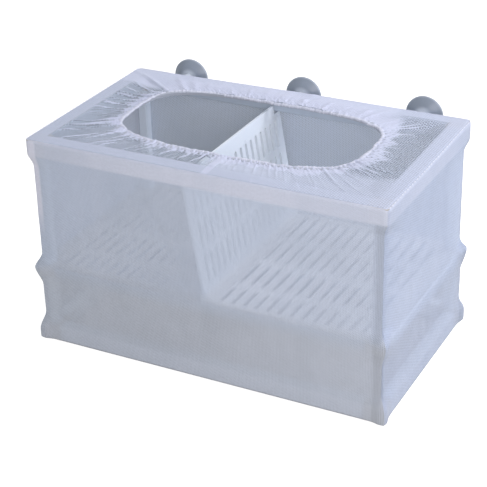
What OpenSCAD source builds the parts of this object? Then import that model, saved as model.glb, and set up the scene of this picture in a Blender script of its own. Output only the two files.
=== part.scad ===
// Hang-on fish breeding box: a net basket on a tube frame, with a slotted floor, a leaning divider,
// an elastic mouth and three suction cups. The origin is the middle of the bottom face, +X runs along
// the box, +Y points to the suction cups and +Z is up.

/* [Box] */
// Length of the box along X, over the net
box_l = 255; // [210:1:320]
// Depth of the box along Y, over the net
box_d = 146; // [125:1:200]
// Height of the box, over the net
box_h = 150; // [130:1:220]
// Height of the middle ring's upper face, where the floor plates lie
floor_z = 57; // [40:1:64]

/* [Net] */
// Thickness of the net
net_t = 0.4; // [0.2:0.1:0.8]
// How far the net pulls in between two rings of rails
net_dip = 3.5; // [2:0.5:3.5]
// Height over which the net runs in from a ring
net_run = 7; // [5:1:9]
// Gap between the net and the frame that it covers
net_gap = 0.1; // [0.1:0.1:0.3]

/* [Frame] */
// Width of the top rails, seen from above
top_rail_w = 11; // [9:0.5:12]
// Height of the top rails
top_rail_h = 11; // [9:0.5:13]
// Width of the middle rails, seen from above
mid_rail_w = 8; // [7:0.5:11]
// Height of the middle rails
mid_rail_h = 7; // [6:0.5:10]
// Width of the bottom rails, seen from above
bottom_rail_w = 9; // [7:0.5:12]
// Height of the bottom rails
bottom_rail_h = 11.5; // [8:0.5:13]
// Width of the square posts
post_w = 7; // [6:0.5:8]
// Wall of the rails and posts
tube_wall = 1.3; // [1:0.1:1.6]
// Rounding of the rails' and posts' long edges
tube_r = 1.2; // [0.5:0.1:1.5]
// Length of a corner connector along each rail
corner_l = 14; // [12.5:0.5:18]
// Rounding of the connectors' upright edges
corner_r = 2; // [1:0.5:3]
// Length of the pegs that push into the tubes
peg_l = 7; // [4:0.5:9]
// Gap round a peg in its tube
peg_gap = 0.15; // [0.1:0.05:0.3]

/* [Mouth] */
// Length of the opening in the top net
mouth_l = 172; // [120:1:185]
// Distance from the box's front to the opening
mouth_front = 33; // [27:0.5:49]
// Distance from the box's back to the opening
mouth_back = 22; // [18:0.5:43]
// Shift of the opening along X
mouth_x = -3; // [-6:1:6]
// Squareness of the opening, where 2 is an ellipse
mouth_n = 3.4; // [2:0.1:4]
// Width of the sewn hem round the opening
hem_w = 5; // [4.5:0.5:6]
// Height of the sewn hem
hem_h = 3.2; // [2.8:0.1:4]
// Wall of the sewn hem
hem_wall = 0.9; // [0.6:0.1:1]
// Gap round the elastic in the hem
elastic_gap = 0.2; // [0.1:0.1:0.3]

/* [Floor plates] */
// Thickness of the floor plates
plate_t = 1.6; // [1.2:0.1:2.4]
// Gap from the frame's outline in to the plates' outer edges
plate_inset = 1.5; // [1.5:0.1:3]
// Width of a floor slot
floor_slot_w = 3.2; // [2:0.1:3.8]
// Distance between neighbouring columns of floor slots
floor_slot_pitch = 8.2; // [6:0.1:12]
// Distance from the track's middle to the first column of floor slots
floor_slot_x = 11; // [9:0.5:14]
// Plain margin at the plates' outer ends
floor_end = 12; // [12:0.5:20]
// Plain margin along the plates' front and back edges
floor_side = 5; // [4:0.5:9]
// Width of the cross ribs that part the rows of slots
floor_rib_w = 6; // [4:0.5:9]
// Distance between neighbouring cross ribs
floor_rib_pitch = 36; // [28:1:40]
// Place of the middle cross rib along Y
floor_rib_y = -7; // [-10:1:10]
// Clearance between the plates and what stands beside them
plate_gap = 0.3; // [0.1:0.1:0.5]

/* [Divider] */
// Thickness of the divider
divider_t = 1.8; // [1.4:0.1:2]
// Angle at which the divider leans on its track
divider_lean = 9; // [7:0.5:12]
// Free height from the leaning divider up to the top face
divider_headroom = 7.5; // [5.5:0.5:12]
// Radius of the divider's round foot
foot_r = 1.3; // [1.2:0.05:1.6]
// Running gap round the divider's foot
foot_gap = 0.05; // [0.02:0.01:0.1]
// Wall of the track's lips
lip_t = 1.2; // [0.8:0.1:2]
// Width of the track's flange under each plate
flange_w = 5; // [3:0.5:8]
// Thickness of the track's flange
flange_t = 1.5; // [1:0.1:2]
// Gap from the divider's ends to the net
divider_gap = 0.5; // [0.3:0.1:1]
// Width of a divider slot
divider_slot_w = 3; // [2:0.1:3.8]
// Distance between neighbouring columns of divider slots
divider_slot_pitch = 7.4; // [6:0.1:10]
// Height of a divider slot
divider_slot_h = 19.5; // [10:0.5:20]
// Height of the bars between two rows of divider slots
divider_bar = 4.5; // [3:0.5:5]
// Height of the plain band under the lowest row of divider slots
divider_foot_band = 6; // [5:0.5:8]
// Plain margin at the divider's two ends
divider_end = 9; // [6:0.5:14]

/* [Suction cups] */
// Diameter of a suction cup
cup_d = 26.8; // [20:0.2:32]
// Distance from the box's end to the middle of the nearest suction cup
cup_end = 37.5; // [32:0.5:60]
// Distance from the net's back face to the cups' rims
cup_reach = 12; // [11:0.5:18]
// Width of the flat rim of a cup
cup_rim_w = 1.8; // [1.2:0.1:3]
// Thickness of a cup at its rim
cup_rim_t = 0.9; // [0.6:0.1:1.2]
// Thickness of a cup at its middle
cup_mid_t = 2; // [1.5:0.1:2.5]
// Depth of the hollow of a cup
cup_hollow = 3.2; // [2:0.1:3.6]
// Radius of the hub behind a cup
hub_r = 4.2; // [3.8:0.1:5]
// Gap between the net and the hub
hub_gap = 0.6; // [0.3:0.1:1]
// Radius of the neck through the rail
neck_r = 2.5; // [2:0.1:2.8]
// Running gap round the neck in the rail
neck_gap = 0.05; // [0.02:0.01:0.1]
// Gap round the neck in the net
net_hole_gap = 0.4; // [0.3:0.1:1]
// Radius of the button that holds the neck in the rail
button_r = 3.4; // [3.2:0.1:3.6]
// Thickness of the button
button_t = 2.6; // [1.5:0.1:3.5]
// Gap between the button and the rail's inner face
button_gap = 0.1; // [0.1:0.05:0.3]

/* [Hidden] */
$fn = 48;

// Sides of the box
LEFT = -1;
RIGHT = 1;
FRONT = -1;
BACK = 1;

// Overlap that joins two solids of one piece, and the overshoot of a cut
join = 1;

// The frame fills the net with a small gap
skin = net_t + net_gap;
frame_l = box_l - 2 * skin;
frame_d = box_d - 2 * skin;
bottom_z = skin;
bottom_top_z = bottom_z + bottom_rail_h;
mid_z = floor_z - mid_rail_h;
top_z = box_h - skin;
top_low_z = top_z - top_rail_h;
post_x = frame_l / 2 - net_dip - post_w / 2;
post_y = frame_d / 2 - net_dip - post_w / 2;

// Inset of the net's outer face against its height
net_line = [
    [0, 0],
    [0, bottom_top_z],
    [net_dip, bottom_top_z + net_run],
    [net_dip, mid_z - net_run],
    [0, mid_z],
    [0, floor_z],
    [net_dip, floor_z + net_run],
    [net_dip, top_low_z - net_run],
    [0, top_low_z],
    [0, box_h]
];

// Half of the room between the front and back nets
room_half_d = box_d / 2 - net_dip - net_t;
inner_half_d = room_half_d - divider_gap;

// The track's groove holds the divider's foot, and its lips stop the divider's lean
groove_half = foot_r + foot_gap;
track_half = groove_half + lip_t;
foot_z = floor_z + plate_t + groove_half;
stop_gap = 0.08;
lip_over_foot = (groove_half - stop_gap - divider_t / 2 / cos(divider_lean)) / tan(divider_lean);
lip_top_z = foot_z + lip_over_foot;
divider_h = (box_h - divider_headroom - foot_z) / cos(divider_lean);
rail_clearance = 1;
divider_shoulder = top_low_z - foot_z - rail_clearance;
divider_top_half = frame_d / 2 - top_rail_w - rail_clearance;
divider_row_pitch = divider_slot_h + divider_bar;
divider_rows = floor((divider_shoulder - divider_foot_band + divider_bar) / divider_row_pitch);
divider_columns = 1 + floor(2 * (inner_half_d - divider_end) / divider_slot_pitch);

// Each floor plate runs from the track to the frame
plate_x = track_half + plate_gap;
plate_end_x = frame_l / 2 - plate_inset;
plate_half_d = frame_d / 2 - plate_inset;
notch_x = post_x - post_w / 2 - plate_gap;
notch_y = post_y - post_w / 2 - plate_gap;
floor_columns = 1 + floor((plate_end_x - floor_end - floor_slot_x) / floor_slot_pitch);
floor_edge_y = plate_half_d - floor_side;
floor_lines = [
    -floor_edge_y - floor_rib_w / 2,
    floor_rib_y - floor_rib_pitch,
    floor_rib_y,
    floor_rib_y + floor_rib_pitch,
    floor_edge_y + floor_rib_w / 2
];

// Distance between neighbouring cups, their height, and the depths of their parts along Y
cup_pitch = box_l / 2 - cup_end;
cup_z = top_low_z + top_rail_h / 2;
cup_face_y = box_d / 2 + cup_reach;
hub_y = box_d / 2 + hub_gap;
button_y = frame_d / 2 - tube_wall - button_gap;
cup_r = cup_d / 2;
cup_rings = 8;

// Points of the mouth's outline, its depth and the middle of its depth
mouth_steps = 72;
mouth_d = box_d - mouth_front - mouth_back;
mouth_y = (mouth_front - mouth_back) / 2;

plastic = "#e6eaf4";
plate_plastic = "#dfe6f2";
net_colour = "#c9d1e3";
hem_colour = "#dde2ee";
elastic_colour = "#f2f3f6";
cup_plastic = "#a9b1bd";

function reversed(list) = [for (i = [len(list) - 1 : -1 : 0]) list[i]];

// Signed power, for the mouth's rounded rectangle
function bend(v) = sign(v) * pow(abs(v), 2 / mouth_n);

// Outline of the mouth, widened all round by a margin
function mouth_line(margin) = [
    for (i = [0 : mouth_steps - 1])
        let (a = 360 * (i + 0.5) / mouth_steps)
        [
            mouth_x + (mouth_l / 2 + margin) * bend(cos(a)),
            mouth_y + (mouth_d / 2 + margin) * bend(sin(a))
        ]
];

// Outer and inner faces of a cup: distance along Y for a radius, in a smooth flare
function flare(r, r_in, y_in, r_out, y_out) =
    y_in + (y_out - y_in) * pow((r - r_in) / (r_out - r_in), 1.5);

module rounded_rect(w, h, r) {
    square([w - 2 * r, h], center = true);
    square([w, h - 2 * r], center = true);
    for (x = [-1, 1], y = [-1, 1])
        translate([x * (w / 2 - r), y * (h / 2 - r)])
            circle(r = r);
}

module slot(w, l) {
    square([w, l - w], center = true);
    for (y = [-1, 1])
        translate([0, y * (l - w) / 2])
            circle(d = w);
}

// Square tube along Z, centred on the origin
module tube(length, w, h) {
    linear_extrude(height = length, center = true)
        difference() {
            rounded_rect(w, h, tube_r);
            square([w - 2 * tube_wall, h - 2 * tube_wall], center = true);
        }
}

// Rail along X at the front or back, with its underside at z
module long_rail(side, z, w, h) {
    translate([0, side * (frame_d - w) / 2, z + h / 2])
        rotate([90, 0, 90])
            tube(frame_l - 2 * corner_l, w, h);
}

// Rail along Y at the left or right, with its underside at z
module short_rail(side, z, w, h) {
    translate([side * (frame_l - w) / 2, 0, z + h / 2])
        rotate([90, 0, 0])
            tube(frame_d - 2 * corner_l, w, h);
}

module post(side_x, side_y, z_low, z_high) {
    translate([side_x * post_x, side_y * post_y, (z_low + z_high) / 2])
        tube(z_high - z_low, post_w, post_w);
}

// Peg along Z that fills a tube of a given size, from inside its block to its tip
module peg(w, h) {
    loss = 2 * (tube_wall + peg_gap);
    linear_extrude(height = join + peg_l)
        square([w - loss, h - loss], center = true);
}

// Corner connector: a block with a peg for each rail and post that meets it
module corner(side_x, side_y, z, w, h, post_over, post_under) {
    mirror([side_x < 0 ? 1 : 0, 0, 0])
        mirror([0, side_y < 0 ? 1 : 0, 0]) {
            translate([(frame_l - corner_l) / 2, (frame_d - corner_l) / 2, z])
                linear_extrude(height = h)
                    rounded_rect(corner_l, corner_l, corner_r);
            translate([frame_l / 2 - corner_l + join, (frame_d - w) / 2, z + h / 2])
                rotate([90, 0, -90])
                    peg(w, h);
            translate([(frame_l - w) / 2, frame_d / 2 - corner_l + join, z + h / 2])
                rotate([90, 0, 0])
                    peg(w, h);
            if (post_over)
                translate([post_x, post_y, z + h - join])
                    peg(post_w, post_w);
            if (post_under)
                translate([post_x, post_y, z + join])
                    mirror([0, 0, 1])
                        peg(post_w, post_w);
        }
}

module top_corner(side_x, side_y) {
    color(plastic) corner(side_x, side_y, top_low_z, top_rail_w, top_rail_h, false, true);
}

module mid_corner(side_x, side_y) {
    color(plastic) corner(side_x, side_y, mid_z, mid_rail_w, mid_rail_h, true, true);
}

module bottom_corner(side_x, side_y) {
    color(plastic) corner(side_x, side_y, bottom_z, bottom_rail_w, bottom_rail_h, true, false);
}

module cup_holes(radius) {
    for (i = [-1 : 1])
        translate([i * cup_pitch, cup_face_y, cup_z])
            rotate([90, 0, 0])
                cylinder(r = radius, h = cup_face_y - frame_d / 2 + top_rail_w / 2);
}

module top_rail_front() {
    color(plastic) long_rail(FRONT, top_low_z, top_rail_w, top_rail_h);
}

module top_rail_back() {
    color(plastic)
        difference() {
            long_rail(BACK, top_low_z, top_rail_w, top_rail_h);
            cup_holes(neck_r + neck_gap);
        }
}

module top_rail_side(side) {
    color(plastic) short_rail(side, top_low_z, top_rail_w, top_rail_h);
}

module mid_rail_long(side) {
    color(plastic) long_rail(side, mid_z, mid_rail_w, mid_rail_h);
}

module mid_rail_side(side) {
    color(plastic) short_rail(side, mid_z, mid_rail_w, mid_rail_h);
}

module bottom_rail_long(side) {
    color(plastic) long_rail(side, bottom_z, bottom_rail_w, bottom_rail_h);
}

module bottom_rail_side(side) {
    color(plastic) short_rail(side, bottom_z, bottom_rail_w, bottom_rail_h);
}

module upper_post(side_x, side_y) {
    color(plastic) post(side_x, side_y, floor_z, top_low_z);
}

module lower_post(side_x, side_y) {
    color(plastic) post(side_x, side_y, bottom_top_z, mid_z);
}

// Net panel at the back of a box of a given length and half depth, mitred at its two ends
module net_wall(length, reach) {
    mitre = net_dip + net_t + join;
    intersection() {
        rotate([90, 0, 90])
            linear_extrude(height = length, center = true)
                polygon(concat(
                    [for (p = net_line) [reach - p[0], p[1]]],
                    reversed([for (p = net_line) [reach - p[0] - net_t, p[1]]])
                ));
        translate([0, 0, -join])
            linear_extrude(height = box_h + 2 * join)
                polygon([
                    [-length / 2, reach],
                    [length / 2, reach],
                    [length / 2 - mitre, reach - mitre],
                    [mitre - length / 2, reach - mitre]
                ]);
    }
}

module net_front() {
    color(net_colour) rotate([0, 0, 180]) net_wall(box_l, box_d / 2);
}

module net_back() {
    color(net_colour)
        difference() {
            net_wall(box_l, box_d / 2);
            cup_holes(neck_r + net_hole_gap);
        }
}

module net_side(side) {
    color(net_colour) rotate([0, 0, -90 * side]) net_wall(box_d, box_l / 2);
}

module net_sheet(z) {
    translate([net_t - box_l / 2, net_t - box_d / 2, z])
        cube([box_l - 2 * net_t, box_d - 2 * net_t, net_t]);
}

module net_bottom() {
    color(net_colour) net_sheet(0);
}

module net_top() {
    color(net_colour)
        difference() {
            net_sheet(box_h - net_t);
            translate([0, 0, box_h - net_t - join])
                linear_extrude(height = net_t + 2 * join)
                    polygon(mouth_line(hem_w));
        }
}

// Band round the mouth between two margins
module mouth_band(inner, outer, z_low, z_high) {
    translate([0, 0, z_low])
        linear_extrude(height = z_high - z_low)
            difference() {
                polygon(mouth_line(outer));
                polygon(mouth_line(inner));
            }
}

// Folded hem, open underneath, that the elastic runs in
module mouth_hem() {
    color(hem_colour)
        difference() {
            mouth_band(0, hem_w, box_h - hem_h, box_h);
            mouth_band(hem_wall, hem_w - hem_wall, box_h - hem_h - join, box_h - hem_wall);
        }
}

module mouth_elastic() {
    edge = hem_wall + elastic_gap;
    color(elastic_colour) mouth_band(edge, hem_w - edge, box_h - hem_h + elastic_gap, box_h - edge);
}

// Floor plate on the right of the track, notched at the posts
module floor_plate() {
    translate([0, 0, floor_z])
        linear_extrude(height = plate_t)
            difference() {
                translate([plate_x, -plate_half_d])
                    square([plate_end_x - plate_x, 2 * plate_half_d]);
                for (y = [-1, 1])
                    translate([notch_x + plate_end_x / 2, y * (notch_y + plate_half_d / 2)])
                        square([plate_end_x, plate_half_d], center = true);
                for (column = [0 : floor_columns - 1], row = [0 : len(floor_lines) - 2])
                    translate([
                        floor_slot_x + column * floor_slot_pitch,
                        (floor_lines[row] + floor_lines[row + 1]) / 2
                    ])
                        slot(floor_slot_w, floor_lines[row + 1] - floor_lines[row] - floor_rib_w);
            }
}

module floor_plate_left() {
    color(plate_plastic) mirror([1, 0, 0]) floor_plate();
}

module floor_plate_right() {
    color(plate_plastic) floor_plate();
}

// Cross-section extruded along Y to both sides of the middle
module along_y(half) {
    rotate([90, 0, 0])
        linear_extrude(height = 2 * half, center = true)
            children();
}

// Strip that carries the plates' inner edges and holds the divider's foot
module divider_track() {
    flange_half_d = frame_d / 2 - mid_rail_w - plate_gap;
    color(plate_plastic) {
        along_y(inner_half_d)
            difference() {
                translate([-track_half, floor_z])
                    square([2 * track_half, lip_top_z - floor_z]);
                translate([-groove_half, floor_z + plate_t])
                    square([2 * groove_half, lip_top_z]);
            }
        along_y(flange_half_d)
            translate([-track_half - flange_w, floor_z - flange_t])
                square([2 * (track_half + flange_w), flange_t]);
    }
}

// Slotted plate that turns on its round foot, with shoulders that pass under the top rails
module divider() {
    color(plate_plastic)
        translate([0, 0, foot_z])
            rotate([0, -divider_lean, 0]) {
                along_y(inner_half_d)
                    circle(r = foot_r);
                rotate([90, 0, 90])
                    linear_extrude(height = divider_t, center = true)
                        difference() {
                            union() {
                                translate([-inner_half_d, 0])
                                    square([2 * inner_half_d, divider_shoulder]);
                                translate([-divider_top_half, 0])
                                    square([2 * divider_top_half, divider_h]);
                            }
                            for (column = [0 : divider_columns - 1], row = [0 : divider_rows - 1])
                                translate([
                                    (column - (divider_columns - 1) / 2) * divider_slot_pitch,
                                    divider_foot_band + divider_slot_h / 2 + row * divider_row_pitch
                                ])
                                    slot(divider_slot_w, divider_slot_h);
                        }
            }
}

// Suction cup turned about Y: rim, hub, neck and the button inside the rail
module suction_cup(place) {
    rim_in = cup_r - cup_rim_w;
    rings = [for (i = [0 : cup_rings]) i / cup_rings];
    color(cup_plastic)
        translate([place * cup_pitch, 0, cup_z])
            rotate([-90, 0, 0])
                rotate_extrude()
                    polygon(concat(
                        [
                            [0, button_y - button_t],
                            [button_r * 0.7, button_y - button_t],
                            [button_r, button_y - button_t / 2],
                            [button_r, button_y],
                            [neck_r, button_y],
                            [neck_r, hub_y],
                            [hub_r, hub_y]
                        ],
                        [
                            for (t = rings)
                                let (r = hub_r + t * (cup_r - hub_r))
                                [r, flare(r, hub_r, cup_face_y - cup_hollow - cup_mid_t, cup_r, cup_face_y - cup_rim_t)]
                        ],
                        [[cup_r, cup_face_y]],
                        [
                            for (t = reversed(rings))
                                [t * rim_in, flare(t * rim_in, 0, cup_face_y - cup_hollow, rim_in, cup_face_y)]
                        ]
                    ));
}

top_corner(LEFT, FRONT);  // top_corner_front_left
top_corner(RIGHT, FRONT);  // top_corner_front_right
top_corner(LEFT, BACK);  // top_corner_back_left
top_corner(RIGHT, BACK);  // top_corner_back_right
mid_corner(LEFT, FRONT);  // mid_corner_front_left
mid_corner(RIGHT, FRONT);  // mid_corner_front_right
mid_corner(LEFT, BACK);  // mid_corner_back_left
mid_corner(RIGHT, BACK);  // mid_corner_back_right
bottom_corner(LEFT, FRONT);  // bottom_corner_front_left
bottom_corner(RIGHT, FRONT);  // bottom_corner_front_right
bottom_corner(LEFT, BACK);  // bottom_corner_back_left
bottom_corner(RIGHT, BACK);  // bottom_corner_back_right
top_rail_front();
top_rail_back();
top_rail_side(LEFT);  // top_rail_left
top_rail_side(RIGHT);  // top_rail_right
mid_rail_long(FRONT);  // mid_rail_front
mid_rail_long(BACK);  // mid_rail_back
mid_rail_side(LEFT);  // mid_rail_left
mid_rail_side(RIGHT);  // mid_rail_right
bottom_rail_long(FRONT);  // bottom_rail_front
bottom_rail_long(BACK);  // bottom_rail_back
bottom_rail_side(LEFT);  // bottom_rail_left
bottom_rail_side(RIGHT);  // bottom_rail_right
upper_post(LEFT, FRONT);  // upper_post_front_left
upper_post(RIGHT, FRONT);  // upper_post_front_right
upper_post(LEFT, BACK);  // upper_post_back_left
upper_post(RIGHT, BACK);  // upper_post_back_right
lower_post(LEFT, FRONT);  // lower_post_front_left
lower_post(RIGHT, FRONT);  // lower_post_front_right
lower_post(LEFT, BACK);  // lower_post_back_left
lower_post(RIGHT, BACK);  // lower_post_back_right
net_front();
net_back();
net_side(LEFT);  // net_left
net_side(RIGHT);  // net_right
net_bottom();
net_top();
mouth_hem();
mouth_elastic();
floor_plate_left();
floor_plate_right();
divider_track();
divider();
suction_cup(LEFT);  // suction_cup_left
suction_cup(0);  // suction_cup_middle
suction_cup(RIGHT);  // suction_cup_right
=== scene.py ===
"""A hang-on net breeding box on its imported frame.

The six net panels, the gathered hem and the seam are cloth that is made here. The tube frame, the slotted
plates, the divider, the elastic and the suction cups are the frame's own nodes, with finished materials.
"""
import math
import random

import bpy
import numpy as np
from mathutils import Matrix, Vector


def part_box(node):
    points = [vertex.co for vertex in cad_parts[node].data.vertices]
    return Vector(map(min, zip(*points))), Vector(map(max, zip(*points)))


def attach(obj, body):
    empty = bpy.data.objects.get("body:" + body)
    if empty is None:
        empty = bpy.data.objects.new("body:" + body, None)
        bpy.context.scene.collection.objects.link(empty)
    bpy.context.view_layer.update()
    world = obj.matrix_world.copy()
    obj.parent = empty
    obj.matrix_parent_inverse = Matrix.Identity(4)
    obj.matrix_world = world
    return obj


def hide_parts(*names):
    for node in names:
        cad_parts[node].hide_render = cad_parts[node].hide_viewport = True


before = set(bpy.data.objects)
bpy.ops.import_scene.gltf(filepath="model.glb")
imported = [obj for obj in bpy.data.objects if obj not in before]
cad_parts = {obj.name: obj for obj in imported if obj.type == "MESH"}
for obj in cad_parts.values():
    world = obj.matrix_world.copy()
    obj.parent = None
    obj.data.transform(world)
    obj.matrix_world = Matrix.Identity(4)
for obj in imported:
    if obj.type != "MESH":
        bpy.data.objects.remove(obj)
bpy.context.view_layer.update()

MM = 0.001
BASKET = "basket"
WHITE = (1.0, 1.0, 1.0)
PHASES = 6.28            # range of the waves' random phases

# ---------------------------------------------------------------- places that the frame gives

def low(node):
    return Vector(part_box(node)[0])


def high(node):
    return Vector(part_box(node)[1])


HALF_L = high("net_right").x
HALF_D = high("net_back").y
BOX_TOP = high("net_top").z
BOTTOM_RING_TOP = high("bottom_rail_front").z
MID_LOW = low("mid_rail_front").z
MID_TOP = high("mid_rail_front").z
TOP_LOW = low("top_rail_front").z
RAIL_IN_X = low("top_rail_right").x
RAIL_IN_Y = low("top_rail_back").y
POST_INSET = HALF_L - high("upper_post_front_right").x

HEM_W = 5 * MM           # width of the hem's band, as in part.scad
MOUTH_C = (low("mouth_hem") + high("mouth_hem")) / 2
MOUTH_A = (high("mouth_hem").x - low("mouth_hem").x) / 2 - HEM_W
MOUTH_B = (high("mouth_hem").y - low("mouth_hem").y) / 2 - HEM_W

# ---------------------------------------------------------------- camera and light

# The view, solved from the box's eight corners in the photo
VIEW_AZIMUTH = math.radians(27.808)
VIEW_ELEVATION = math.radians(27.302)
VIEW_ROLL = -0.026
VIEW_DISTANCE = 0.974528
VIEW_TARGET = Vector((-0.006281, 0.0, 0.065104))
SENSOR = 36.0
FOCAL_PX = 1427.306
PHOTO_PX = 487
NEAREST_SEEN = 0.05

# Soft round lights: name, place, width, power and colour
LIGHTS = (
    ("key", (0.30, 0.42, 0.85), 0.5, 4.8, (0.94, 0.93, 1.0)),
    ("side", (0.70, 0.35, 0.42), 0.35, 1.05, (0.62, 0.76, 1.0)),
    ("fill", (0.45, -0.72, 0.42), 0.5, 3.1, (0.97, 0.94, 1.0)),
)
LIGHTS_AIM = Vector((0, 0, 0.08))
WORLD_LIGHT = 0.36
WORLD_TINT = (0.82, 0.91, 1.0)


def make_camera():
    a, e, r = VIEW_AZIMUTH, VIEW_ELEVATION, VIEW_ROLL
    back = Vector((math.sin(a) * math.cos(e), -math.cos(a) * math.cos(e), math.sin(e)))
    right = Vector((math.cos(a), math.sin(a), 0.0))
    up = back.cross(right)
    x_axis = right * math.cos(r) + up * math.sin(r)
    y_axis = up * math.cos(r) - right * math.sin(r)
    data = bpy.data.cameras.new("camera")
    data.sensor_width = SENSOR
    data.lens = FOCAL_PX / PHOTO_PX * SENSOR
    data.clip_start = NEAREST_SEEN
    camera = bpy.data.objects.new("camera", data)
    matrix = Matrix((x_axis, y_axis, back)).transposed().to_4x4()
    matrix.translation = VIEW_TARGET + back * VIEW_DISTANCE
    camera.matrix_world = matrix
    bpy.context.scene.collection.objects.link(camera)
    bpy.context.scene.camera = camera


def area_light(name, place, width, power, colour):
    data = bpy.data.lights.new(name, "AREA")
    data.shape = "DISK"
    data.size = width
    data.energy = power
    data.color = colour
    light = bpy.data.objects.new(name, data)
    light.location = place
    light.rotation_euler = (LIGHTS_AIM - Vector(place)).to_track_quat("-Z", "Y").to_euler()
    bpy.context.scene.collection.objects.link(light)


def make_world():
    """Pale light from all round, and a backdrop that is pure white where it is seen."""
    world = bpy.data.worlds.new("studio")
    bpy.context.scene.world = world
    world.use_nodes = True
    tree = Tree(shading=world.node_tree)
    background = tree.nodes["Background"]
    seen = seen_directly(tree)
    tree.put(tree.mix(seen, WORLD_TINT, WHITE), background.inputs["Color"])
    tree.put(tree.remap(seen, 0.0, 1.0, WORLD_LIGHT, 1.0, soft=False), background.inputs["Strength"])


# ---------------------------------------------------------------- materials

class Tree:
    """Short words for building the nodes of one material, or of the world."""

    def __init__(self, name=None, shading=None):
        if shading is None:
            self.material = bpy.data.materials.new(name)
            self.material.use_nodes = True
            shading = self.material.node_tree
            self.shader = shading.nodes["Principled BSDF"]
        self.tree = shading
        self.nodes = shading.nodes

    def node(self, kind, inputs=(), **settings):
        made = self.nodes.new("ShaderNode" + kind)
        for key, value in settings.items():
            setattr(made, key, value)
        for key, value in dict(inputs).items():
            self.put(value, made.inputs[key])
        return made

    def put(self, value, socket):
        """Gives a socket a link, a colour or a number."""
        if hasattr(value, "links"):
            self.tree.links.new(value, socket)
        elif isinstance(value, tuple) and len(value) == 3 and socket.type == "RGBA":
            socket.default_value = value + (1.0,)
        else:
            socket.default_value = value

    def math(self, operation, a, b):
        return self.node("Math", {0: a, 1: b}, operation=operation).outputs[0]

    def remap(self, value, from_min, from_max, to_min=0.0, to_max=1.0, soft=True):
        return self.node(
            "MapRange",
            {"Value": value, "From Min": from_min, "From Max": from_max, "To Min": to_min, "To Max": to_max},
            interpolation_type="SMOOTHSTEP" if soft else "LINEAR",
        ).outputs[0]

    def mix(self, share, a, b):
        return self.node("Mix", {"Factor": share, "A": a, "B": b}, data_type="RGBA").outputs["Result"]

    def shade(self, colour, factor):
        inputs = {"Factor": 1.0, "A": colour, "B": factor}
        return self.node("Mix", inputs, data_type="RGBA", blend_type="MULTIPLY").outputs["Result"]

    def noise(self, vector, scale, detail):
        return self.node("TexNoise", {"Vector": vector, "Scale": scale, "Detail": detail}).outputs[0]

    def bump(self, height, strength, distance):
        made = self.node("Bump", {"Height": height, "Strength": strength, "Distance": distance})
        self.put(made.outputs[0], self.shader.inputs["Normal"])

    def set(self, **values):
        """Gives the shader's inputs their values, with _ for each space in their names."""
        for key, value in values.items():
            self.put(value, self.shader.inputs[key.replace("_", " ")])


def seen_directly(tree):
    """1 where a ray sees the backdrop straight or reflected, and 0 for light and for what the net covers."""
    path = tree.node("LightPath")
    mirrored = tree.math("MAXIMUM", path.outputs["Is Glossy Ray"], path.outputs["Is Transmission Ray"])
    uncovered = tree.math("LESS_THAN", path.outputs["Transparent Depth"], 0.5)
    return tree.math("MULTIPLY", tree.math("MAXIMUM", path.outputs["Is Camera Ray"], mirrored), uncovered)


# Each net's tone in the upper chamber and in the lower one, and where its layers lie together. The nets are
# one
# polyester mesh: the tones differ from net to net and between the chambers as painted light and shade.
NET_LIT_AND_SHADED_TONES = {
    "front_net": ((0.66, 0.73, 0.86), (0.66, 0.70, 0.77), (0.90, 0.90, 1.0)),
    "back_net": ((0.60, 0.69, 0.83), (0.62, 0.66, 0.72), (0.81, 0.82, 0.94)),
    "left_net": ((0.66, 0.72, 0.86), (0.66, 0.72, 0.84), (0.81, 0.82, 0.94)),
    "right_net": ((0.64, 0.72, 0.91), (0.60, 0.665, 0.825), (0.81, 0.82, 0.94)),
    "bottom_net": ((0.88, 0.88, 0.93), (0.88, 0.88, 0.93), (0.88, 0.88, 0.93)),
    "top_net": ((0.56, 0.62, 0.73), (0.56, 0.62, 0.73), (0.71, 0.73, 0.87)),
    "hem": ((0.63, 0.65, 0.75), (0.63, 0.65, 0.75), (0.81, 0.81, 0.90)),
}
TONE_FROM = MID_LOW - 4 * MM      # the height where the lower chamber's tone, which is painted light and shade, begins to change
TONE_TO = MID_TOP + 12 * MM       # and where it is the upper one's

# Each mesh: how opaque its holes and threads are, the distance between holes, how far their waves have to
# rise for a hole, how much darker the holes are, and how uneven
PANEL_MESH = {"hole_alpha": 0.66, "thread_alpha": 0.84, "spacing": 1.15 * MM, "openness": 0.3, "depth": 0.08}
BACK_MESH = {"hole_alpha": 0.66, "thread_alpha": 0.84, "spacing": 1.3 * MM, "openness": 0.3, "depth": 0.24}
HEM_MESH = {"hole_alpha": 0.90, "thread_alpha": 0.97, "spacing": 0.9 * MM, "openness": 0.3, "depth": 0.14}
GATHERED_MESH = {
    "hole_alpha": 0.06,
    "thread_alpha": 0.84,
    "spacing": 1.8 * MM,
    "openness": -0.1,
    "depth": 0.80,
    "wander": 3.2,
}
HOLE_EDGE = 0.9          # how far a mesh's waves fall from a hole's edge to full thread
WANDER_SIZE = 1.5        # unevenness of the holes, in patches for each hole

NET_GLOW = 0.3           # share of the light that one layer of net keeps from what is behind it
NET_CLOUDS = 55.0        # scale of the net's thinner and thicker patches
NET_GRAIN = 700.0        # scale of its specks
DARKEST_SPECK = 0.94
DARKEST_PAINTED_SHADE = 0.72      # painted shade where bunch is -1, along upright edges
THREAD_BUMP = 0.2 * MM
FULLY_BUNCHED = 0.8      # the bunch where holes and threads are as opaque as they get
BUNCHED_HOLE = 0.97
BUNCHED_THREAD = 0.98


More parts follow.
